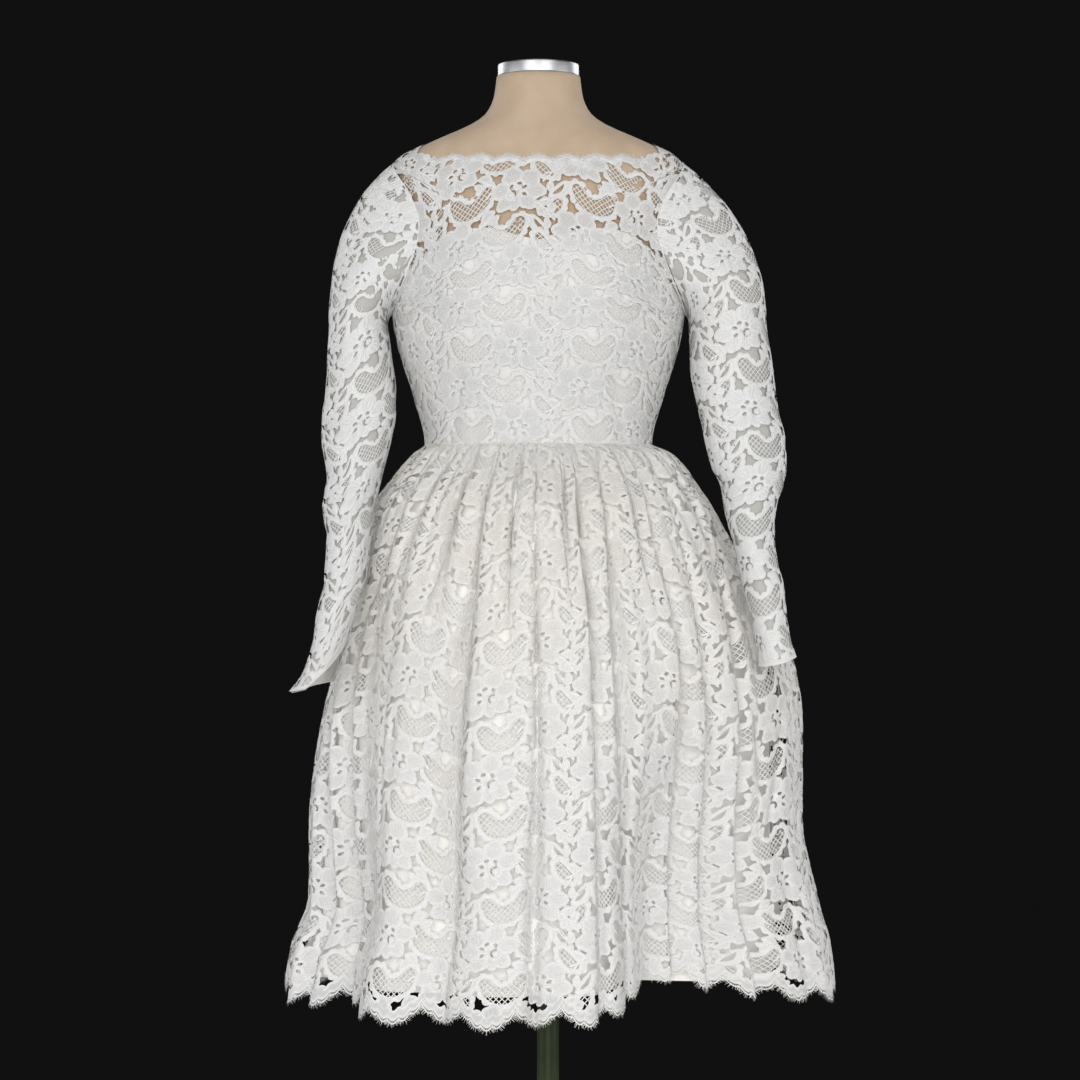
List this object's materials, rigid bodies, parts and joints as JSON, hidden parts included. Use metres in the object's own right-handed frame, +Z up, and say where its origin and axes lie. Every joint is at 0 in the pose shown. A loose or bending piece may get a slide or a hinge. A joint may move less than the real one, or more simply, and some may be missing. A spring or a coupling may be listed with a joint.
{
  "type": "lace wedding dress on dress form",
  "caption": "Knee-length lace wedding dress with long sleeves and a gathered skirt, standing on a limbless dress form with a pole and a round base.",
  "frame": {"origin": "on the floor, on the axis of the stand's pole", "axes": "+Z up, -Y the front of the dress, +X the viewer's right when facing the front"},
  "size_m": [0.6274, 0.5324, 1.5013],
  "materials": {
    "lace": "matt cotton lace",
    "satin": "soft satin",
    "sleeve_lining": "sheer, matt",
    "linen": "matt linen over a stiff shell",
    "silver": "polished",
    "enamel": "gloss enamel"
  },
  "bodies": {
    "root": {"stand_base": "enamel", "stand_pole": "enamel", "form_torso": "linen", "form_neck_cap": "silver", "bodice_lining_front": "satin", "bodice_lining_back": "satin", "bodice_lace_front": "lace", "bodice_lace_back_left": "lace", "bodice_lace_back_right": "lace", "back_placket": "lace", "sleeve_lining_left": "sleeve_lining", "sleeve_lining_right": "sleeve_lining", "sleeve_lace_left_front": "lace", "sleeve_lace_left_back": "lace", "sleeve_lace_right_front": "lace", "sleeve_lace_right_back": "lace", "skirt_lining_front": "satin", "skirt_lining_back": "satin", "skirt_lace_front": "lace", "skirt_lace_back": "lace"}
  },
  "joints": []
}
